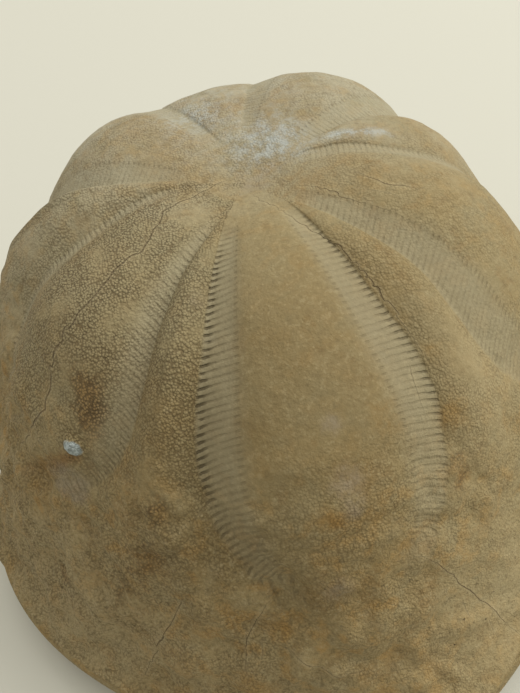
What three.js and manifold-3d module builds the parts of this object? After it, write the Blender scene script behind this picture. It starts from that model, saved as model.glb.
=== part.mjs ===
// The test (the stony skeleton) of a high-domed fossil sand dollar, built as one closed solid.
// Millimetres, +Z up. It stands on its flat underside, the front petal points along -Y, and the
// origin is the middle of the base, on the surface that it stands on.
import * as THREE from "three";
import { mergeVertices } from "three/addons/utils/BufferGeometryUtils.js";
import Module from "manifold-3d";

// Driving dimensions.
const HALF_WIDTH = 60; // plan radius across the animal
const LENGTH_SHARE = 1.1; // length over width
const CORNERS = 0.03; // how far the outline swells at the end of each petal, as a share
const DOME_HEIGHT = 61; // height of the dome's shoulder over the base
const BRIM_HEIGHT = 8; // height of the brim, where the rim starts to round over
const RIM_BULGE = 0.8; // how far the rim's rounding stands out past the brim
const RIM_TUCK = 2.4; // how far it comes back in again, down to the base
const DOME_POWER = 5; // how late the dome starts to fall
const BRIM_POWER = 2.05; // how softly the dome runs out into the brim
const LEFT_FULLNESS = 0.03; // how much further out the dome falls on its left, as a share
const LEFT_FULLEST_AT = THREE.MathUtils.degToRad(185);
const APEX_SHIFT = new THREE.Vector2(0.045, 0.12).multiplyScalar(HALF_WIDTH);
const APEX_DIMPLE = 2.2; // depth of the hollow in the middle of the petals
const APEX_DIMPLE_SHARE = 0.14; // its radius, as a share of the plan radius

// Petals, as shares of the plan radius: the outer pore row lies at each width.
const PETAL_STATIONS = [0, 0.15, 0.34, 0.5, 0.6, 0.68, 0.74, 0.785, 0.82, 1];
const PETAL_WIDTHS = [0, 0.08, 0.157, 0.22, 0.268, 0.29, 0.268, 0.205, 0.17, 0.3];
const SIDE_PETAL_TURN = THREE.MathUtils.degToRad(68.2);
const BACK_PETAL_TURN = THREE.MathUtils.degToRad(137.5);

// How far each petal, and the strip that follows it, swells out of the plain dome. The petals run
// anticlockwise from the front one, seen from above.
const PETAL_SWELLS = [2.0, 2.2, 2.0, 2.2, 1.6];
const STRIP_SWELLS = [1.7, 1.7, 0.2, 4.6, 1.7];
const STRIP_FULL_WIDTH = 5.5; // half the width at which a strip swells fully
const VALLEY_DEPTHS = [0.7, 0.35, 0.3, 0.3, 0.55]; // how far a petal's pore zones sink
const VALLEY_PLACE = 0.95; // their lowest line, as a share of the way to the outer row
const VALLEY_SPREAD = 0.3;
const RELIEF_RISE = [0.05, 0.5]; // where all this starts, and where it is full, going outwards
const PETAL_FADE = [0.66, 0.9];
const STRIP_FADE = [0.66, 1];

// Underside.
const MOUTH_RADIUS = 15;
const MOUTH_CORNERS = 0.06; // how far the mouth's five corners reach out, as a share
const MOUTH_DEPTH = 9;
const FOOD_GROOVE_DEPTH = 0.8;
const FOOD_GROOVE_END = 0.8;
const VENT_RADIUS = 2.6;
const VENT_DEPTH = 1.6;
const VENT_SHARE = 0.86; // its place on the way from the middle to the rear edge

// The grid that the surface is made of: columns follow the pore rows of the five petals.
const PETAL_COLUMNS = [0, 0.34, 0.63, 0.82, 1]; // shares of the way to the outer pores; 0.63 the inner
const BETWEEN_COLUMNS = [0.25, 0.5, 0.75, 1]; // shares of the way on to the line between petals
const TOP_ROWS = 24;
const RIM_TURNS = [-90, -62, -36, -12, 12, 36, 62]; // degrees up round the rim from its foot
const BASE_ROWS = [0.06, 0.125, 0.19, 0.25, 0.34, 0.46, 0.6, 0.74, 0.87]; // shares of the radius

const PETAL_TURNS = [
  0,
  SIDE_PETAL_TURN,
  BACK_PETAL_TURN,
  2 * Math.PI - BACK_PETAL_TURN,
  2 * Math.PI - SIDE_PETAL_TURN,
];
const FRONT = -Math.PI / 2;

// The petal's half width at a share of the plan radius, on a smooth curve through its stations.
const petalOutline = new THREE.SplineCurve(
  PETAL_STATIONS.map((share, i) => new THREE.Vector2(share, PETAL_WIDTHS[i])),
);
const petalSamples = petalOutline.getPoints(200);

function petalHalfWidth(share) {
  const next = petalSamples.findIndex((point) => point.x >= share);
  if (next <= 0) return petalSamples[Math.max(next, 0)].y;
  const [a, b] = [petalSamples[next - 1], petalSamples[next]];
  return a.y + ((b.y - a.y) * (share - a.x)) / (b.x - a.x);
}

// Height of the plain dome, with no petals on it, at a share of the plan radius and an angle.
function domeHeight(share, angle) {
  const toLeft = Math.max(0, Math.cos(angle - LEFT_FULLEST_AT));
  const fuller = LEFT_FULLNESS * toLeft * toLeft * THREE.MathUtils.smoothstep(share, 0.6, 0.85);
  const reach = share * (1 - fuller);
  const fall = Math.pow(Math.max(0, 1 - Math.pow(reach, DOME_POWER)), BRIM_POWER);
  const dimple = APEX_DIMPLE * Math.exp(-Math.pow(reach / APEX_DIMPLE_SHARE, 2));
  return BRIM_HEIGHT + (DOME_HEIGHT - BRIM_HEIGHT) * fall - dimple;
}

// Plan position at a share of the radius and an angle. The middle slides to the apex.
function planPoint(share, angle, shift) {
  const radius =
    HALF_WIDTH * share * (1 + CORNERS * share * Math.cos(5 * (angle - FRONT)));
  const slide = shift * (1 - Math.pow(share, 1.5));
  return new THREE.Vector2(
    radius * Math.cos(angle) + APEX_SHIFT.x * slide,
    radius * Math.sin(angle) * LENGTH_SHARE + APEX_SHIFT.y * slide,
  );
}

function domePoint(share, angle) {
  const plan = planPoint(share, angle, 1);
  return new THREE.Vector3(plan.x, plan.y, domeHeight(share, angle));
}

// How far the surface stands out of the plain dome, for a column and a share of the radius. A
// strip that is still narrow, near the apex, swells less.
function reliefHeight(share, column) {
  const { smoothstep } = THREE.MathUtils;
  const across = column.across + (column.between ?? 0);
  const petalFade = 1 - smoothstep(share, ...PETAL_FADE);
  const off = (across - VALLEY_PLACE) / VALLEY_SPREAD;
  const valley = VALLEY_DEPTHS[column.petal] * Math.exp(-off * off);
  const petal = PETAL_SWELLS[column.petal] * Math.pow(Math.max(0, 1 - across * across), 1.3);
  const room = (column.strip - outerTurn(share)) * share * HALF_WIDTH;
  const open = THREE.MathUtils.clamp(room / STRIP_FULL_WIDTH, 0, 1);
  const arch = Math.pow(Math.sin(((column.between ?? 0) * Math.PI) / 2), 1.5);
  const strip = STRIP_SWELLS[column.stripAfter] * arch * open * (1 - smoothstep(share, ...STRIP_FADE));
  return ((petal - valley) * petalFade + strip) * smoothstep(share, ...RELIEF_RISE);
}

// The columns run right round the test. Each knows its petal and where it lies across it.
function makeColumns() {
  const columns = [];
  PETAL_TURNS.forEach((turn, petal) => {
    const before = PETAL_TURNS.at(petal - 1) - (petal === 0 ? 2 * Math.PI : 0);
    const after = PETAL_TURNS[(petal + 1) % 5] + (petal === 4 ? 2 * Math.PI : 0);
    const half = (side) => {
      const strip = Math.abs((side < 0 ? before : after) - turn) / 2;
      const stripAfter = side < 0 ? (petal + 4) % 5 : petal;
      const place = { petal, turn, side, strip, stripAfter };
      return [
        ...PETAL_COLUMNS.map((across) => ({ ...place, across })),
        ...BETWEEN_COLUMNS.map((between) => ({ ...place, across: 1, between })),
      ];
    };
    const left = half(-1).slice(1, -1).reverse(); // the next petal before owns the shared line
    columns.push(...left, ...half(1));
  });
  return columns;
}

// How far a petal's outer pores lie off its middle line, as an angle about the apex.
function outerTurn(share, across = 1) {
  return Math.asin(Math.min(0.98, (across * petalHalfWidth(share)) / Math.max(share, 0.02)));
}

function columnAngle(column, share) {
  const open = Math.min(outerTurn(share, column.across), column.strip * 0.97);
  const away = open + (column.strip - open) * (column.between ?? 0);
  return FRONT + column.turn + column.side * away;
}

function topPoint(column, share) {
  const step = 1e-3;
  const angle = columnAngle(column, share);
  const here = domePoint(share, angle);
  const along = domePoint(share + step, angle).sub(domePoint(Math.max(share - step, 0), angle));
  const round = domePoint(share, angle + step).sub(domePoint(share, angle - step));
  const out = along.cross(round).normalize();
  if (share < step) out.set(0, 0, 1);
  return here.addScaledVector(out, reliefHeight(share, column));
}

// The rim is half an ellipse. Its upper end meets the brim, and its foot is tucked in.
function rimPoint(column, turn) {
  const plan = planPoint(1, columnAngle(column, 1), 1);
  const tuck = turn < 0 ? RIM_TUCK : 0;
  const out = (RIM_BULGE + tuck) * Math.cos(turn) - tuck;
  plan.multiplyScalar(1 + out / plan.length());
  return new THREE.Vector3(plan.x, plan.y, (BRIM_HEIGHT / 2) * (1 + Math.sin(turn)));
}

function basePoint(column, share) {
  const angle = columnAngle(column, Math.max(share, 0.3));
  const plan = planPoint(share, angle, 0);
  const edge = MOUTH_RADIUS * (1 + MOUTH_CORNERS * Math.cos(5 * (angle - FRONT)));
  const mouth = Math.max(0, 1 - Math.pow((share * HALF_WIDTH) / edge, 2));
  const onGroove = column.across === 0 && share < FOOD_GROOVE_END && mouth === 0;
  const height = MOUTH_DEPTH * Math.pow(mouth, 0.7) + (onGroove ? FOOD_GROOVE_DEPTH : 0);
  return new THREE.Vector3(plan.x, plan.y, height);
}

// A lathed blank with one point for each row; every vertex is then put in its own place. The
// rows run from the middle of the underside out to the rim, and up over the dome to the apex.
function testGeometry() {
  const columns = makeColumns();
  const places = [(column) => basePoint(column, 0)];
  BASE_ROWS.forEach((share) => places.push((column) => basePoint(column, share)));
  RIM_TURNS.map(THREE.MathUtils.degToRad).forEach((turn) =>
    places.push((column) => rimPoint(column, turn)),
  );
  for (let row = TOP_ROWS; row >= 0; row--) {
    const share = Math.pow(row / TOP_ROWS, 0.8);
    places.push((column) => topPoint(column, share));
  }

  const blank = places.map((_, row) => {
    const turn = (Math.PI * row) / (places.length - 1);
    return new THREE.Vector2(HALF_WIDTH * Math.sin(turn), -HALF_WIDTH * Math.cos(turn));
  });
  const geometry = new THREE.LatheGeometry(blank, columns.length);
  const position = geometry.getAttribute("position");
  for (let i = 0; i < position.count; i++) {
    const column = columns[Math.floor(i / places.length) % columns.length];
    const point = places[i % places.length](column);
    position.setXYZ(i, point.x, point.y, point.z);
  }
  return closed(geometry);
}

// Only positions are kept, and vertices in one place become one.
function closed(geometry) {
  geometry.deleteAttribute("normal");
  geometry.deleteAttribute("uv");
  return mergeVertices(geometry, 1e-3);
}

function toSolid(wasm, geometry) {
  return new wasm.Manifold(
    new wasm.Mesh({
      numProp: 3,
      vertProperties: geometry.getAttribute("position").array,
      triVerts: new Uint32Array(geometry.index.array),
    }),
  );
}

function toGeometry(solid) {
  const mesh = solid.getMesh();
  const geometry = new THREE.BufferGeometry();
  geometry.setAttribute("position", new THREE.BufferAttribute(mesh.vertProperties, 3));
  geometry.setIndex(new THREE.BufferAttribute(mesh.triVerts, 1));
  geometry.computeVertexNormals();
  return geometry;
}

// The vent is a small round pit in the underside, close to the rear edge.
function ventGeometry() {
  const vent = new THREE.CylinderGeometry(VENT_RADIUS * 0.8, VENT_RADIUS, 2 * VENT_DEPTH, 16);
  vent.rotateX(Math.PI / 2);
  vent.translate(0, HALF_WIDTH * LENGTH_SHARE * VENT_SHARE, 0);
  return closed(vent);
}

const wasm = await Module();
wasm.setup();
const body = toSolid(wasm, testGeometry()).subtract(toSolid(wasm, ventGeometry()));
const testShape = toGeometry(body);
testShape.computeBoundingBox();
const middle = testShape.boundingBox.getCenter(new THREE.Vector3());
testShape.translate(-middle.x, -middle.y, -testShape.boundingBox.min.z);

const stone = new THREE.MeshStandardMaterial({ color: 0xa08d6a, roughness: 0.85, metalness: 0 });
const test = new THREE.Mesh(testShape, stone);
test.name = "test";

const sandDollar = new THREE.Group();
sandDollar.add(test);

export default sandDollar;
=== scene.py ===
"""A high-domed fossil sand dollar, standing on its flat underside on a pale table."""
import math

import bpy
import numpy as np
from mathutils import Matrix, Vector, noise


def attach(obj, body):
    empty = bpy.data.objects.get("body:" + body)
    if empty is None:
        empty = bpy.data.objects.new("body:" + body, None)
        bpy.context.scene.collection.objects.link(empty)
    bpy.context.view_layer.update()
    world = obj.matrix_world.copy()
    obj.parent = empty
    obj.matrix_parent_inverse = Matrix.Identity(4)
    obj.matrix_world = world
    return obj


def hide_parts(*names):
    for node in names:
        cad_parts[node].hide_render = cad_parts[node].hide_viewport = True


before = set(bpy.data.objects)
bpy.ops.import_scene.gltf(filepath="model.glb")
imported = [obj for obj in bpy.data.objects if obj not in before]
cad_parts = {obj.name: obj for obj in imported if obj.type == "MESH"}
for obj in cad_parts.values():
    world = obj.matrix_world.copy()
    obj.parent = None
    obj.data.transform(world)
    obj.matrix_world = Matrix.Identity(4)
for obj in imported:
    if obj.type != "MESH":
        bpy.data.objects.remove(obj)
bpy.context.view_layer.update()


# ---------------------------------------------------------------------------------------------
# The camera and the light. The animal stands with its front petal towards the lens. Soft window
# light comes from the right, and a weaker one from above and behind.
mm = 0.001
half_width = 60 * mm
mouth_y = 2 * mm  # the mouth lies a little behind the middle of the outline

camera_turn = math.radians(-3.1)
camera_rise = math.radians(51.4)
camera_roll = math.radians(-13.5)
camera_distance = 2.334 * half_width
lens_length = 37.4
side_step = -0.039 * half_width
up_step = 0.046 * half_width

back = Vector((math.sin(camera_turn) * math.cos(camera_rise),
               -math.cos(camera_turn) * math.cos(camera_rise),
               math.sin(camera_rise)))
level = Vector((math.cos(camera_turn), math.sin(camera_turn), 0))
upright = back.cross(level)
right = level * math.cos(camera_roll) + upright * math.sin(camera_roll)
up = upright * math.cos(camera_roll) - level * math.sin(camera_roll)
aim_height = 0.35 * half_width
target = Vector((0, mouth_y, aim_height)) + right * side_step + up * up_step

camera_data = bpy.data.cameras.new("camera")
camera_data.lens = lens_length
camera_data.clip_start = 0.01
camera = bpy.data.objects.new("camera", camera_data)
bpy.context.scene.collection.objects.link(camera)
camera.matrix_world = (
    Matrix.Translation(target + back * camera_distance)
    @ Matrix((right, up, back)).transposed().to_4x4()
)
bpy.context.scene.camera = camera
bpy.context.scene.view_settings.view_transform = "Standard"


def softbox(name, place, aim, size, power, colour):
    """A square area light at place, turned to aim."""
    data = bpy.data.lights.new(name, "AREA")
    data.size = size
    data.energy = power
    data.color = colour
    lamp = bpy.data.objects.new(name, data)
    bpy.context.scene.collection.objects.link(lamp)
    lamp.location = place
    lamp.rotation_euler = (Vector(place) - Vector(aim)).to_track_quat("Z", "Y").to_euler()


middle_of_dome = (0, 0, 0.03)
softbox("window", (1.1, 0.1, 0.9), middle_of_dome, 0.9, 16.0, (1.0, 0.98, 0.94))
softbox("ceiling", (-0.1, 0.8, 1.2), middle_of_dome, 1.2, 6.0, (1.0, 0.97, 0.91))

world = bpy.data.worlds.new("room")
bpy.context.scene.world = world
world.use_nodes = True
room = world.node_tree.nodes["Background"].inputs
room["Color"].default_value = (1.0, 0.96, 0.88, 1)
room["Strength"].default_value = 0.645


# ---------------------------------------------------------------------------------------------
# The test: the animal's stony skeleton. It is one shell of calcite plates grown together, turned
# to stone and filled with sediment. It starts as a ball whose rings and columns are pulled into
# the dome, with its columns gathered where the pore furrows of the five petals are.
columns_in_half_petal = 28
furrow_pitch = 1.07 * mm
rows_in_furrow = 4
furrow_count = 64
length_share = 1.1  # length over width
corners = 0.03  # how far the five blunt corners of the outline stand out, as a share of its radius
dome_height = 61 * mm
brim_height = 8 * mm
apex_shift = np.array([0.045, 0.12]) * half_width
front = -np.pi / 2  # the direction of the front petal
petal_turns = np.radians([0, 68.2, 137.5, 222.5, 291.8])
front_petal, right_petal, left_petal = 0, 1, 4  # petals and strips are counted from the front one
widest_turn = 0.7  # in radians: further off a petal's middle line, rows are not straightened more
rounds_to_settle = 4
rows_below_furrows, rows_round_rim, rows_underneath = 34, 12, 44
inner_row = 0.63  # the inner pores, as a share of the way to the outer ones


def soft_step(low, high, value):
    """0 below low, 1 above high, and a smooth rise between them."""
    share = np.clip((value - low) / (high - low), 0, 1)
    return share * share * (3 - 2 * share)


def smooth_curve(value, stations, heights):
    """A curve through the heights at the stations, with no corners and no overshoot."""
    stations, heights = np.asarray(stations, float), np.asarray(heights, float)
    steps = np.diff(heights) / np.diff(stations)
    slopes = np.concatenate(([steps[0]], (steps[:-1] + steps[1:]) / 2, [steps[-1]]))
    turning = np.concatenate(([False], steps[:-1] * steps[1:] <= 0, [False]))
    slopes[turning] = 0
    at = np.clip(np.searchsorted(stations, value) - 1, 0, len(steps) - 1)
    run = (stations[at + 1] - stations[at])
    s = np.clip((value - stations[at]) / run, 0, 1)
    return ((2 * s**3 - 3 * s**2 + 1) * heights[at] + (s**3 - 2 * s**2 + s) * run * slopes[at]
            + (3 * s**2 - 2 * s**3) * heights[at + 1] + (s**3 - s**2) * run * slopes[at + 1])


def petal_width(share):
    """Half the width of a petal at its outer pores, as a share of the plan radius."""
    return smooth_curve(share, [0, 0.15, 0.34, 0.5, 0.6, 0.68, 0.74, 0.785, 0.82, 1],
                        [0, 0.08, 0.157, 0.22, 0.268, 0.29, 0.268, 0.205, 0.17, 0.3])


def dome(share, angle=front):
    """Height of the dome with no petals on it. Its lower part is a little fuller on the left."""
    fuller = 0.03 * np.clip(np.cos(angle - math.radians(185)), 0, 1)**2
    share = share * (1 - fuller * soft_step(0.6, 0.85, share))
    fall = np.clip(1 - np.clip(share, 0, 1)**5, 0, 1)**2.05
    dimple = 2.2 * mm * np.exp(-(share / 0.14)**2)
    return brim_height + (dome_height - brim_height) * fall - dimple


def plan(share, angle, slide):
    """Place on the ground plan. With slide 1 the middle moves to the apex, with 0 it does not."""
    radius = half_width * share * (1 + corners * share * np.cos(5 * (angle - front)))
    drift = slide * (1 - np.clip(share, 0, 1)**1.5)
    return np.stack([radius * np.cos(angle) + apex_shift[0] * drift,
                     radius * np.sin(angle) * length_share + apex_shift[1] * drift + mouth_y], -1)


def dome_place(share, angle):
    """A point on the plain dome, from its share of the plan radius and its direction."""
    return np.concatenate([plan(share, angle, 1), dome(share, angle)[..., None]], -1)


def outward(share, angle):
    """The direction that the plain dome faces."""
    step = 1e-3
    along = dome_place(share + step, angle) - dome_place(np.maximum(share - step, 0), angle)
    round_ = dome_place(share, angle + step) - dome_place(share, angle - step)
    out = np.cross(along, round_)
    out /= np.maximum(np.linalg.norm(out, axis=-1, keepdims=True), 1e-12)
    out[share < 2 * step] = (0, 0, 1)
    return out


def outer_turn(share, width):
    """How far a petal's outer pores lie off its middle line, as an angle about the apex."""
    return np.arcsin(np.clip(width / np.maximum(share, 0.02), 0, 0.98))


def across_petal_share(row_share, turn):
    """Rows run nearly straight across a petal, so off its middle line they lie further out."""
    straighter = ((0.6 + 0.25 * soft_step(0.48, 0.68, row_share))
                  * (1 - soft_step(0.72, 1, row_share)))
    return np.minimum(row_share * (1 + straighter * (np.minimum(1 / np.cos(turn), 1.16) - 1)), 1)


# Rows down the dome: four to each furrow, evenly along the front petal's outer pores, then wider
# ones down to the brim.
fine_share = np.linspace(0, 1, 4001)
row_out = fine_share.copy()
for _ in range(rounds_to_settle):
    lean = np.minimum(outer_turn(row_out, petal_width(row_out)), widest_turn)
    row_out = across_petal_share(fine_share, lean)
pore_path = dome_place(row_out, outer_turn(row_out, petal_width(row_out)) + front)
steps_of_path = np.linalg.norm(np.diff(pore_path, axis=0), axis=1)
run_of_path = np.concatenate([[0], np.cumsum(steps_of_path)])
furrow_rows = furrow_pitch / rows_in_furrow * np.arange(furrow_count * rows_in_furrow + 1)
last_furrow = np.interp(furrow_rows[-1], run_of_path, fine_share)
top_rows = np.concatenate([np.interp(furrow_rows, run_of_path, fine_share),
                           np.linspace(last_furrow, 1, rows_below_furrows)[1:]])
rim_rows = np.radians(np.linspace(80, -90, rows_round_rim))
base_rows = np.linspace(0.99, 0.0, rows_underneath)[1:]
ring_count = len(top_rows) - 1 + len(rim_rows) + len(base_rows)
column_count = 10 * columns_in_half_petal

bpy.ops.object.select_all(action="DESELECT")
bpy.ops.mesh.primitive_uv_sphere_add(segments=column_count, ring_count=ring_count,
                                     radius=half_width)
test = bpy.context.object
test.name = "sand_dollar_test"

ball = np.empty(len(test.data.vertices) * 3)
test.data.vertices.foreach_get("co", ball)
ball = ball.reshape(-1, 3) / half_width
ring = np.rint(np.arccos(np.clip(ball[:, 2], -1, 1)) / np.pi * ring_count).astype(int)
full_turn = 2 * np.pi
column = np.rint((np.arctan2(ball[:, 1], ball[:, 0]) - front) / full_turn * column_count)
column = column.astype(int) % column_count

# Each column belongs to the nearer petal. It knows its side, and how far across it lies: 0 on the
# petal's middle line, 1 on its outer pores, and 2 half-way to the next petal.
per_petal = 2 * columns_in_half_petal
petal = ((column + columns_in_half_petal) // per_petal) % 5
offset = (column + columns_in_half_petal) % per_petal - columns_in_half_petal
side = np.sign(offset + 0.5)
# The columns from 7 to 19 off the middle line lie across the pores.
across = np.interp(np.abs(offset), [0, 7, 19, columns_in_half_petal],
                   [0, inner_row - 0.04, 1.06, 2])
turns_apart = (np.roll(petal_turns, -1) - petal_turns) % full_turn
half_strip = np.where(side > 0, turns_apart[petal], turns_apart[petal - 1]) / 2
front_right_row = (petal == front_petal) & (side > 0)
narrow_side = ((petal == left_petal) & (side < 0)) | ((petal == right_petal) & (side > 0))
shorter = np.where(petal == left_petal, 0.03, 0.0)


def column_angle(share):
    """The direction of every vertex's column at its share of the plan radius."""
    width = petal_width(share + shorter * soft_step(0.3, 0.5, share))
    width = width * (1 - 0.2 * narrow_side * soft_step(0.25, 0.42, share))
    row = np.minimum(outer_turn(share, np.minimum(across, 1) * width), half_strip * 0.97)
    return row + (half_strip - row) * np.clip(across - 1, 0, 1)


top_last = len(top_rows) - 1
rim_last = top_last + len(rim_rows)
on_top = ring <= top_last
on_rim = (ring > top_last) & (ring <= rim_last)
on_base = ring > rim_last

row_share = top_rows[np.minimum(ring, top_last)]
share = row_share.copy()
for _ in range(rounds_to_settle):
    share = across_petal_share(row_share, np.minimum(column_angle(share), widest_turn))
away = column_angle(share)
angle = front + petal_turns[petal] + side * away

# The petals and the strips between them swell out of the plain dome, along the way it faces. A
# strip that is still narrow, near the apex, swells less.
plain_place = dome_place(share, angle)
facing = outward(share, angle)
rise = soft_step(0.05, 0.5, share)
petal_end = 1 - soft_step(0.66, 0.9, share)
petal_swell = np.array([2.0, 2.2, 2.0, 2.2, 1.6]) * mm
strip_swell = np.array([1.1, 1.7, 0.2, 4.6, 1.7]) * mm  # each lies after the petal of its place
strip = np.where(side > 0, petal, (petal - 1) % 5)
width_here = petal_width(share + shorter * soft_step(0.3, 0.5, share))
half_room = np.maximum(half_strip - outer_turn(share, width_here), 0) * share * half_width
between = np.clip(across - 1, 0, 1)
valley = np.exp(-((across - 0.95) / np.where(across < 0.95, 0.33, 0.28))**2)
swell = petal_swell[petal] * np.clip(1 - across**2, 0, 1)**1.3 * rise * petal_end
valley_depth = np.array([0.7, 0.35, 0.3, 0.3, 0.55])[petal] * mm
valley_depth = np.where(front_right_row, 0.3 * mm, valley_depth)
swell -= valley_depth * valley * rise * petal_end
swell += (strip_swell[strip] * np.sin(between * np.pi / 2)**1.5 * rise
          * np.clip(half_room / (5.5 * mm), 0, 1) * (1 - soft_step(0.66, 1, share)))

# A furrow joins the two pores of every pair. Towards the end of the petal the furrows turn, with
# their inner ends nearer the apex. They are cut deep on the front petal and worn nearly flat on
# the others.
petal_share = share + shorter
inward = np.clip((1 - across) / (1 - inner_row), -0.2, 2)
slant = (0.2 * soft_step(0.5, 0.66, petal_share)
         + np.where(side < 0, 2.6, 2.0) * soft_step(0.68, 0.79, petal_share))
furrow = ring / rows_in_furrow + inward * slant
pores = soft_step(9, 15, furrow) * (1 - soft_step(0.77, 0.805, petal_share)) * on_top
worn = np.array([0.0, 0.5, 0.7, 0.7, 0.25])[petal]
zone_start = np.where(petal == left_petal, 0.76, inner_row)
zone = soft_step(zone_start - 0.12, zone_start + 0.1, across) * (1 - soft_step(0.99, 1.05, across))
trough = np.abs(furrow % 1 - 0.5) * 2  # 1 in a furrow, 0 on a ridge
cut = pores * (1 - worn) * np.where(front_right_row, 0.6, 1)
outward_cut = zone * (0.35 + 0.65 * soft_step(0.7, 0.95, across))
height = swell - 0.25 * mm * zone * pores - 0.1 * mm * outward_cut * cut * trough**2


def over_dome(degrees, share):
    """A point on the plain dome, from its turn off the front petal and its share of the radius."""
    return dome_place(np.asarray(share, float), np.radians(np.asarray(degrees, float)) + front)


def near(degrees, share, radius, flatness=2):
    """1 at a point on the dome, falling to 0 a little past that radius."""
    reach = np.linalg.norm(plain_place - over_dome(degrees, share), axis=1)
    return np.exp(-(reach / radius)**flatness) * on_top


def lumps(size, seed, octaves=3):
    """Unevenness of about that size for each vertex, from -1 to 1."""
    spots = plain_place / size + seed
    return np.array([noise.fractal(Vector(spot), 0.9, 2.0, octaves) for spot in spots])


# Weather and handling have left it uneven, most of all low down, where the brim is worn lumpy.
most_worn = math.radians(-60)  # off the front petal, towards the left one
low_down = soft_step(0.6, 0.8, share) * (0.45 + 0.55 * np.cos(angle - front - most_worn))
height += lumps(16 * mm, 3.0) * mm * (0.4 * rise + 0.6 * low_down)
height += lumps(6 * mm, 11.0) * mm * (0.12 + 1.3 * low_down) * on_top
height += lumps(3.6 * mm, 19.0, 2) * mm * 0.6 * low_down * on_top
height += lumps(2.4 * mm, 27.0, 2) * mm * (0.04 + 0.32 * low_down) * on_top

# A light grain of rock is stuck in the left petal, and a rusty crease runs out from it.
grain = near(-53, 0.69, 1.25 * mm, 4)
crease = np.zeros(len(share))
for part in np.linspace(0, 1, 24):
    touch = near(-53 - 13 * part, 0.70 + 0.08 * part, 0.9 * mm)
    crease = np.maximum(crease, (1 - 0.5 * part) * touch)
height += grain * 0.9 * mm - crease * 0.35 * mm

# Cracks and open seams between plates: turn and share of their points, and width in millimetres.
# Some seams are jagged, by the last two numbers: length of a tooth and how far it stands out.
cracks = [
    ([(-155, 0.2, 0.02), (-146, 0.05, 0.02), (12, 0.09, 0.04), (24, 0.23, 0.05),
      (28.5, 0.34, 0.08), (27.5, 0.47, 0.11), (27, 0.61, 0.02)], 0.8, 0.25),
    ([(-113, 0.06, 0.05), (-78, 0.22, 0.14), (-62, 0.31, 0.14), (-62, 0.43, 0.17),
      (-64, 0.57, 0.18), (-62, 0.67, 0.14), (-68, 0.75, 0.06)], 1.5, 0.4),
    ([(59, 0.1, 0.02), (53, 0.24, 0.06), (52, 0.44, 0.02)], 0.6, 0.35),
    ([(66, 0.3, 0.03), (62, 0.36, 0.07), (64, 0.42, 0.03)], 1.2, 0.15),
    ([(13, 0.79, 0.03), (19, 0.86, 0.1), (25, 0.96, 0.03)], 2.4, 0.4),
    ([(-30, 0.82, 0.04), (-36, 0.9, 0.09), (-40, 0.98, 0.02)], 2.0, 0.2),
    ([(-36, 0.9, 0.06), (-38, 0.86, 0.02)], 2.0, 0.1),
    ([(-15, 0.8, 0.03), (-20, 0.85, 0.07), (-20, 0.88, 0.03)], 2.0, 0.15),
    ([(-13, 0.85, 0.03), (-8, 0.87, 0.06), (-2, 0.88, 0.03)], 3.0, 0.05),
    ([(23, 0.6, 0.04), (21.5, 0.66, 0.02)], 1.5, 0.1),
]
shake = np.random.default_rng(5)
under_line = (0, 0, 10)  # a point inside the dome, in millimetres, that the teeth lie square to
no_crack, crack_reach = 3.0, 2.5  # in millimetres
crack_away = np.full(len(share), no_crack)  # signed distance to the nearest crack
crack_width = np.zeros(len(share))
for points, tooth, stand in cracks:
    points = np.array(points)
    path = over_dome(points[:, 0], points[:, 1]) / mm
    run = np.concatenate([[0], np.cumsum(np.linalg.norm(np.diff(path, axis=0), axis=1))])
    stops = np.linspace(0, run[-1], max(2, int(run[-1] / tooth) + 1))
    line = np.stack([np.interp(stops, run, path[:, k]) for k in range(3)], -1)
    widths = np.interp(stops, run, points[:, 2])
    ways = np.gradient(line, axis=0)
    sideways = np.cross(line - under_line, ways)
    sideways /= np.linalg.norm(sideways, axis=1, keepdims=True)
    teeth = stand * shake.uniform(-1.2, 1.2, len(line))
    line += sideways * teeth[:, None]
    for start, end, width_a, width_b in zip(line[:-1], line[1:], widths[:-1], widths[1:]):
        off = plain_place / mm - start
        along = end - start
        part = np.clip(off @ along / (along @ along), 0, 1)
        reach = np.linalg.norm(off - part[:, None] * along, axis=1)
        nearer = (reach < np.abs(crack_away)) & on_top
        hand = np.sign(np.einsum("ij,ij->i", np.cross(facing, along), off))
        crack_away[nearer] = (reach * np.where(hand == 0, 1, hand))[nearer]
        crack_width[nearer] = (width_a + (width_b - width_a) * part)[nearer]
crack_width[np.abs(crack_away) > crack_reach] = 0
height -= 0.7 * mm * crack_width * np.exp(-(crack_away / 0.35)**2)
height += 0.3 * mm * crack_width * np.sign(crack_away) * np.exp(-np.abs(crack_away) / 1.5)

place = plain_place + facing * height[:, None]

# The rim is rounded, and the base is flat. Each row of the rim has its turn, from nearly straight
# up to straight down.
turn = rim_rows[np.clip(ring - top_last - 1, 0, len(rim_rows) - 1)]
rim_angle = front + petal_turns[petal] + side * column_angle(np.ones_like(share))
edge = plan(np.ones_like(share), rim_angle, 1) - (0, mouth_y)
bulge = np.where(turn < 0, 3.2 * mm * np.cos(turn) - 2.4 * mm, 0.8 * mm * np.cos(turn))
edge_plan = edge * (1 + bulge / np.linalg.norm(edge, axis=1))[:, None] + (0, mouth_y)
rim_place = np.concatenate([edge_plan, (brim_height / 2 * (1 + np.sin(turn)))[:, None]], -1)
place[on_rim] = rim_place[on_rim]

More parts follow.
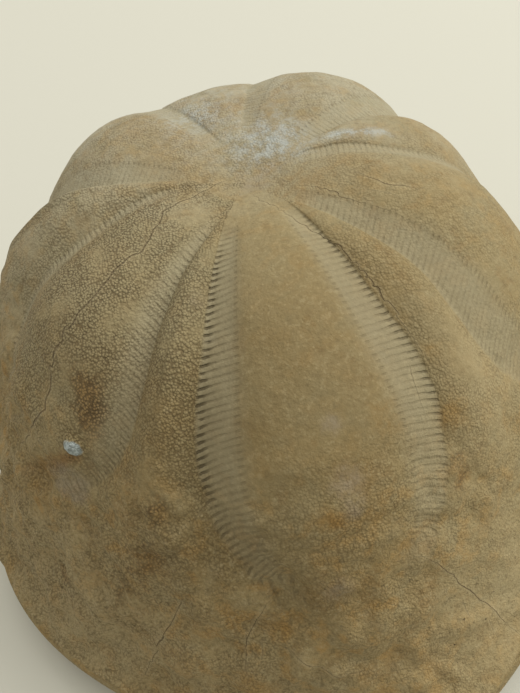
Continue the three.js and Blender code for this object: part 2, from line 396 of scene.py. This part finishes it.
# Underneath, the mouth is a five-sided hollow plugged with rock. A food groove runs out from each
# of its corners, and the vent opens near the rear edge.
mouth_radius, mouth_depth = 15 * mm, 9 * mm
groove_half_width, groove_depth = 1.1 * mm, 0.8 * mm
vent_radius, vent_depth = 2.6 * mm, 1.6 * mm
gather = 10 * mm  # rows this near the vent are drawn towards it
base_share = base_rows[np.clip(ring - rim_last - 1, 0, len(base_rows) - 1)] * 0.96
base_turn = side * column_angle(np.maximum(base_share, 0.3))
base_angle = front + petal_turns[petal] + base_turn
base_plan = plan(base_share, base_angle, 0)
from_mouth = base_share * half_width
five_sided = mouth_radius * (1 + 0.06 * np.cos(5 * (base_angle - front)))
funnel = np.clip(1 - (from_mouth / five_sided)**2, 0, 1)**0.7
groove_off = from_mouth * np.sin(np.clip(base_turn, -1.5, 1.5))
groove = (np.exp(-(groove_off / groove_half_width)**2) * soft_step(0.1, 0.2, base_share)
          * (1 - soft_step(0.6, 0.8, base_share)))
vent_plan = plan(np.array([0.86]), np.array([np.pi / 2]), 0)[0]
vent_off = base_plan - vent_plan
vent_reach = np.linalg.norm(vent_off, axis=1)
pulled = np.where(vent_reach < gather, vent_reach / gather, 1)
base_plan = np.where(on_base[:, None], vent_plan + vent_off * pulled[:, None], base_plan)
vent = np.clip(1 - (vent_reach * pulled / vent_radius)**2, 0, 1)**0.6
base_height = np.maximum(mouth_depth * funnel, groove_depth * groove) + vent_depth * vent
base_place = np.concatenate([base_plan, base_height[:, None]], -1)
place[on_base] = base_place[on_base]

test.data.vertices.foreach_set("co", place.ravel())
test.data.update()
bpy.ops.object.shade_smooth()


def lay_on(name, values):
    """Stores one number for each vertex of the test, for its material to read."""
    test.data.attributes.new(name, "FLOAT", "POINT").data.foreach_set("value", values)


# Where the pores show as slits, painted dark as shade: the front petal's outer ones and,
# towards its tip, the left petal's. Where the shagreen of bosses is crisp: the left petal and the
# strips beside it. And where stains have soaked in, and where a pale sheen is painted at the apex
# and the back.
slit_depth = np.where(petal == front_petal, 1.0, 0.08)
slit_depth = np.where(petal == left_petal, 0.2 + 0.5 * soft_step(0.64, 0.72, share), slit_depth)
slit_depth = slit_depth * np.where(front_right_row, 0.6, 1)
slit_depth = slit_depth * soft_step(12, 20, furrow) * (1 - 0.7 * soft_step(0.64, 0.74, share))
crisp = np.array([0.1, 0.3, 0.3, 0.4, 1.0])[petal]
crisp += 0.5 * (petal == front_petal) * soft_step(0.6, 0.75, share)
for strip_number, strip_crisp in ((left_petal, 0.85), (left_petal - 1, 0.6), (front_petal, 0.45)):
    crisp = np.where((across > 1) & (strip == strip_number), strip_crisp, crisp)
crisp = crisp * (1 - 0.25 * low_down) * (1 - 0.5 * near(25, 0.92, 18 * mm))
rust = (0.7 * near(-33, 0.714, 3 * mm) + 0.8 * near(-35.6, 0.779, 4 * mm)
        + 0.6 * near(-56.8, 0.886, 5 * mm) + 0.6 * near(-42, 0.84, 6 * mm)
        + 0.6 * near(25, 0.743, 5 * mm) + 0.6 * near(0, 0.706, 3 * mm)
        + 0.7 * near(-54, 0.59, 3.6 * mm) + 0.9 * near(-51, 0.63, 2.8 * mm)
        + 0.5 * near(-50, 0.66, 2 * mm) + 0.4 * near(-50, 0.708, 2 * mm))
ochre = (near(27, 0.68, 3.5 * mm) + 0.7 * near(29, 0.6, 3 * mm) + 0.7 * near(13, 0.62, 5 * mm)
         + near(-2, 0.7, 3 * mm) + near(-14, 0.83, 3 * mm) + near(-20, 0.9, 5 * mm)
         + 0.8 * near(-62, 0.8, 6 * mm) + 0.6 * near(-30, 0.85, 6 * mm)
         + 0.8 * near(-58, 0.72, 1.8 * mm) + 0.8 * near(-62, 0.75, 1.8 * mm))
violet = (near(2, 0.60, 2 * mm) + near(2, 0.665, 3 * mm) + near(2, 0.70, 2 * mm)
          + near(-3, 0.78, 3 * mm) + 0.8 * near(60, 0.03, 4 * mm) + 0.7 * near(-30, 0.38, 2.5 * mm)
          + 0.6 * near(-24, 0.45, 2.5 * mm) + 1.2 * near(-56, 0.745, 3.6 * mm)
          + 0.8 * near(-52, 0.75, 3 * mm))
chalk_and_sheen = (0.5 * near(146, 0.14, 5 * mm) + 0.45 * near(115, 0.17, 4 * mm)
         + 0.45 * near(-165, 0.3, 4 * mm))
# A faint pale bluish wash at the apex and, broader, behind it: painted sheen, not chalk.
chalk_and_sheen += 0.05 * near(0, 0.0, 12 * mm) + 0.3 * near(180, 0.4, 26 * mm)
for step_out in np.linspace(0, 1, 8):  # a chalky streak down the right of the rear petals
    chalk_and_sheen += 0.4 * near(103 - 8 * step_out, 0.26 + 0.16 * step_out, 1.1 * mm)
greyed = near(-60, 0.45, 16 * mm) + 0.4 * near(-40, 0.35, 8 * mm) + 0.4 * near(-25, 0.4, 6 * mm)
umber = (0.8 * near(0, 0.42, 16 * mm) + 0.8 * near(27, 0.6, 13 * mm)
         + 0.5 * near(0, 0.65, 14 * mm) + near(-27, 0.6, 9 * mm))
umber += 0.9 * near(-5, 0.79, 5 * mm) + 0.7 * near(-16, 0.74, 5 * mm)
umber += 0.6 * near(-26, 0.75, 8 * mm) + 0.5 * near(-55, 0.6, 9 * mm)
bleached = (near(25, 0.92, 16 * mm) + 1.2 * near(-55, 0.93, 22 * mm)
            + 0.5 * near(-15, 0.95, 14 * mm))
bleached += 0.8 * near(39, 0.68, 12 * mm)
bored = near(20, 0.95, 12 * mm) + 0.7 * near(40, 0.9, 10 * mm)

for name, values in {
    "across": across, "zone": zone, "furrow": furrow, "pores": pores,
    "cut": cut * on_top,
    "slit_depth": slit_depth * on_top,
    "crisp": np.where(on_top, crisp, 0.3),
    "crack_away": crack_away, "crack_width": crack_width,
    "grain": grain,
    "rust": np.clip(rust, 0, 1), "ochre": np.clip(ochre, 0, 1), "violet": np.clip(violet, 0, 1),
    "chalk_and_sheen": np.clip(chalk_and_sheen, 0, 1), "umber": np.clip(umber, 0, 1),
    "bleached": np.clip(bleached, 0, 1),
    "crease": crease,
    "greyed": np.clip(greyed, 0, 1),
    "bored": bored,
    "low_down": np.where(on_top, low_down, 0.5),
    # Painted shade in the mouth, food grooves and vent underneath, darker the deeper they go.
    "hollow_shade": np.where(on_base, np.clip(funnel + vent + groove * 0.5, 0, 1), 0),
}.items():
    lay_on(name, values)


class Flow:
    """A number or a colour that runs through a material's nodes. Sums on it are Math nodes."""

    tree = None

    def __init__(self, socket):
        self.socket = socket

    @classmethod
    def node(cls, kind, settings=None, sockets=None, out=0):
        """What comes out of a new node with those settings, and numbers or flows going in."""
        made = cls.tree.nodes.new("ShaderNode" + kind)
        for name, value in (settings or {}).items():
            setattr(made, name, value)
        for name, value in (sockets or {}).items():
            if isinstance(value, cls):
                cls.tree.links.new(value.socket, made.inputs[name])
            else:
                made.inputs[name].default_value = value
        return cls(made.outputs[out])

    @classmethod
    def math(cls, operation, *values):
        """What comes out of a new Math node."""
        return cls.node("Math", {"operation": operation}, dict(enumerate(values)))

    def __add__(self, other): return Flow.math("ADD", self, other)
    def __radd__(self, other): return Flow.math("ADD", other, self)
    def __sub__(self, other): return Flow.math("SUBTRACT", self, other)
    def __rsub__(self, other): return Flow.math("SUBTRACT", other, self)
    def __mul__(self, other): return Flow.math("MULTIPLY", self, other)
    def __rmul__(self, other): return Flow.math("MULTIPLY", other, self)
    def __truediv__(self, other): return Flow.math("DIVIDE", self, other)
    def __abs__(self): return Flow.math("ABSOLUTE", self)

    def rise(self, low, high):
        """0 below low, 1 above high, smooth between them. With low over high it falls instead."""
        turned = low > high
        low, high = min(low, high), max(low, high)
        made = Flow.node("MapRange", {"interpolation_type": "SMOOTHSTEP"},
                         {"Value": self, "From Min": low, "From Max": high})
        return 1 - made if turned else made


def tint(mask, plain, tinted):
    """The plain colour, turned to the other one where mask is 1."""
    return Flow.node("Mix", {"data_type": "RGBA"}, {0: mask, 6: plain, 7: tinted}, out=2)


screen_gamma = 2.2


def seen(red, green, blue):
    """A colour as it looks on a screen, from 0 to 255."""
    return tuple((v / 255)**screen_gamma for v in (red, green, blue)) + (1,)


stone = bpy.data.materials.new("fossil_calcite")
stone.use_nodes = True
Flow.tree = stone.node_tree
shader = stone.node_tree.nodes["Principled BSDF"]

spot = Flow.node("TexCoord", out="Object")
rearward = Flow.node("SeparateXYZ", {}, {"Vector": spot}, out="Y")


def cloud(size, detail=3, roughness=0.55):
    """Uneven cloudiness with blotches of about that size."""
    return Flow.node("TexNoise", {"noise_dimensions": "3D"},
                     {"Vector": spot, "Scale": 1 / size, "Detail": detail, "Roughness": roughness})


wander = Flow.node("TexNoise", {}, {"Vector": spot, "Scale": 1 / (1.3 * mm), "Detail": 3},
                   out="Color")
wander_reach = (0.3 * mm, 0.3 * mm, 0.3 * mm)
wandering_spot = Flow.node("VectorMath", {"operation": "MULTIPLY_ADD"},
                           {0: wander, 1: wander_reach, 2: spot})


def cells(size, randomness):
    """How far it is to the nearest of points that lie about that size apart."""
    return Flow.node("TexVoronoi", {"feature": "F1"}, {"Vector": wandering_spot, "Scale": 1 / size,
                                                       "Randomness": randomness}, out="Distance")


def reading(name):
    """A number that was laid on the test's vertices."""
    return Flow.node("Attribute", {"attribute_name": name}, out="Fac")


across_petal, furrow_number, pores_near = reading("across"), reading("furrow"), reading("pores")
cut_deep, slit_dark, shagreen = reading("cut"), reading("slit_depth"), reading("crisp")

# The furrows between the paired pores are low and soft. At the outer end of each is a slit, and
# at the inner end a small pit. Furrows, slits and pits are also painted darker, as shade in them.
ragged = cloud(1.6 * mm, 3) - 0.5
fuzzy_across = across_petal + ragged * 0.12
beat = abs(Flow.math("FRACT", furrow_number + ragged * 0.5 + 0.5) - 0.5) * 2  # 0 in a furrow
in_zone = reading("zone")
low = reading("low_down")
furrows = in_zone * (fuzzy_across + low * 0.35).rise(0.45, 0.85) * beat.rise(0.6, 0.1)
furrows = furrows * (0.2 * pores_near + (0.7 + low * 0.4) * cut_deep)
furrows = furrows * cloud(2 * mm, 3).rise(0.2, 0.6)
slit_end = fuzzy_across.rise(1.04, 1.0) * beat.rise(0.5, 0.15) * slit_dark
slits = (fuzzy_across.rise(0.9, 0.96) * 0.8 + fuzzy_across.rise(0.82, 0.94) * 0.3) * slit_end
slits = slits * cloud(2.2 * mm, 2).rise(0.25, 0.5)
inner_pits = abs(across_petal - inner_row).rise(0.04, 0.01) * beat.rise(0.5, 0.2) * pores_near

# Shagreen: small round bosses that carried the spines, close together, with grit between them.
# In the colour, their tops get a painted highlight and the ground between them painted shade.
boss = cells(0.42 * mm, 0.8)
bosses = boss.rise(0.5, 0.05)
sunken = boss.rise(0.42, 0.75)
grit = cells(0.3 * mm, 0.95)
open_stone = (1 - in_zone * pores_near * 0.5) * shagreen * cloud(7 * mm, 3).rise(0.25, 0.6)

# Cracks, painted dark as shade in them, and the paler lips of the seams.
crack = abs(reading("crack_away") + ragged * 0.3)
crack_wide = reading("crack_width")
cracks_dark = (crack / (crack_wide + 0.001)).rise(1.2, 0.4) * crack_wide.rise(0.01, 0.05)
crack_lips = crack.rise(0.7, 0.25) * crack_wide.rise(0.01, 0.05)

# Weather: worn hollows, fine grain and, at the right edge, tiny borings.
weather = cloud(3.0 * mm, 6, 0.65)
fine = cloud(0.7 * mm, 4, 0.65)
borings = cells(2.4 * mm, 1.0).rise(0.1, 0.04) * reading("bored").rise(0.2, 0.6)

relief = (bosses * open_stone * 0.12 - sunken * open_stone * 0.16
          - grit * (0.02 + low * 0.06 + shagreen * 0.04)
          - furrows * 0.1 - slits * 0.2 - inner_pits * 0.05 - cracks_dark * 0.22
          + weather * (0.3 + low * 0.8) + fine * (0.08 + low * 0.12) - borings * 0.2)

# Colour: a painted sheen, paler and greyer towards the rear where the light from behind falls,
# then soft patches, specks, stains and chalk with a painted sheen at the back, and last the small
# features, with painted highlights on the bosses and painted shade between them and in the
# furrows, pores, pits, cracks and borings.
# Painted sheen: the rear is painted paler and greyer, where the light from behind falls.
rear_sheen = rearward.rise(-12 * mm, 30 * mm)
patches = cloud(6.5 * mm, 5, 0.65)
specks = cloud(0.8 * mm, 3, 0.7)
colour = tint(rear_sheen, seen(141, 127, 91), seen(157, 150, 126))
colour = tint(cloud(15 * mm, 4).rise(0.42, 0.62) * 0.5, colour, seen(137, 117, 76))
colour = tint(patches.rise(0.5, 0.66) * (0.5 + low * 0.2), colour, seen(135, 127, 97))
colour = tint(patches.rise(0.46, 0.34) * (0.5 + low * 0.2) * (1 - rear_sheen * 0.6), colour,
              seen(130, 103, 60))
mottle = cloud(3.2 * mm, 5, 0.6)
colour = tint(mottle.rise(0.5, 0.63) * (0.2 + low * 0.6), colour, seen(152, 117, 60))
colour = tint(mottle.rise(0.46, 0.32) * (0.15 + low * 0.35), colour, seen(134, 130, 104))
colour = tint(cloud(2.2 * mm, 5, 0.7).rise(0.52, 0.68) * (0.35 + low * 0.1), colour,
              seen(104, 88, 58))
colour = tint(low * 0.3, colour, seen(149, 124, 76))
colour = tint(reading("greyed") * 0.5, colour, seen(141, 134, 106))
colour = tint(reading("umber") * 0.55, colour, seen(112, 96, 62))
colour = tint(reading("bleached") * 0.55, colour, seen(163, 149, 113))
colour = tint(specks.rise(0.52, 0.66) * (0.2 + low * 0.15), colour, seen(172, 160, 124))
colour = tint(specks.rise(0.48, 0.34) * (0.2 + low * 0.25), colour, seen(92, 77, 48))
stain_edge = cloud(2.6 * mm, 6, 0.7)
colour = tint((reading("violet") * stain_edge * 1.7).rise(0.3, 1.0) * 0.6, colour,
              seen(138, 127, 108))
# Rust stain, painted lighter on the bosses' tops as highlight and darker between them as shade.
rust_with_painted_light = tint(boss.rise(0.6, 0.2), seen(88, 66, 34), seen(134, 104, 58))
rust_here = reading("rust")
stained = (rust_here + stain_edge * 2.2 - 1.35).rise(0.0, 0.7) * rust_here.rise(0.0, 0.4)
colour = tint(stained * 0.7, colour, rust_with_painted_light)
colour = tint(reading("crease") * (0.5 + stain_edge * 0.6), colour, seen(122, 88, 46))
colour = tint((reading("ochre") * stain_edge * 1.7).rise(0.3, 1.0) * 0.6, colour,
              seen(146, 113, 58))
# Chalk flecks and streaks, and at the apex and the back a painted sheen.
chalky_and_sheen = reading("chalk_and_sheen") * (cloud(1.8 * mm, 6, 0.75).rise(0.35, 0.65) * 0.7 + 0.3)
colour = tint(chalky_and_sheen.rise(0.05, 0.75) * 0.7, colour, seen(172, 181, 180))
colour = tint(in_zone * pores_near * (0.4 - low * 0.3), colour, seen(150, 145, 121))
# Painted highlight on the bosses' tops.
colour = tint(bosses * open_stone * 0.15, colour, seen(172, 158, 120))
# Painted shade in the ground between the bosses, stronger in the rust.
colour = tint(sunken * open_stone * (0.6 + 0.3 * rust_here), colour, seen(78, 63, 38))
# Painted shade in the furrows.
colour = tint(furrows * (0.28 + low * 0.3), colour, seen(104, 92, 66))
# Painted shade in the inner pits.
colour = tint(inner_pits * 0.25, colour, seen(90, 78, 54))
colour = tint(crack_lips * 0.2, colour, seen(176, 162, 126))
# Painted shade in the pore slits.
colour = tint(slits * 0.65, colour, seen(70, 59, 37))
# Painted shade in the open cracks.
colour = tint(cracks_dark * 0.6, colour, seen(80, 62, 36))
# Painted shade in the tiny borings.
colour = tint(borings * 0.6, colour, seen(60, 48, 34))
pebble = tint(specks.rise(0.4, 0.6), seen(134, 142, 138), seen(176, 186, 184))
colour = tint((reading("grain") + ragged * 0.4).rise(0.35, 0.6), colour, pebble)
# Painted shade in the hollows underneath: the mouth, its food grooves and the vent.
colour = tint(reading("hollow_shade") * 0.75, colour, seen(112, 96, 68))

bump = Flow.node("Bump", {}, {"Strength": 1.0, "Distance": mm, "Height": relief}, out="Normal")
Flow.tree.links.new(colour.socket, shader.inputs["Base Color"])
Flow.tree.links.new(bump.socket, shader.inputs["Normal"])
Flow.tree.links.new((0.74 - bosses * 0.08 + weather * 0.16).socket, shader.inputs["Roughness"])
shader.inputs["Specular IOR Level"].default_value = 0.35
test.data.materials.clear()
test.data.materials.append(stone)

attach(test, "root")
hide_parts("test")


# ---------------------------------------------------------------------------------------------
# The table top: plain, cream and matt.
bpy.ops.object.select_all(action="DESELECT")
table_size = 6
bpy.ops.mesh.primitive_plane_add(size=table_size, location=(0, 0, 0))
table = bpy.context.object
table.name = "table_top"

cream = bpy.data.materials.new("cream_board")
cream.use_nodes = True
board = cream.node_tree.nodes["Principled BSDF"].inputs
board["Base Color"].default_value = seen(196, 196, 184)
board["Roughness"].default_value = 0.85
table.data.materials.append(cream)
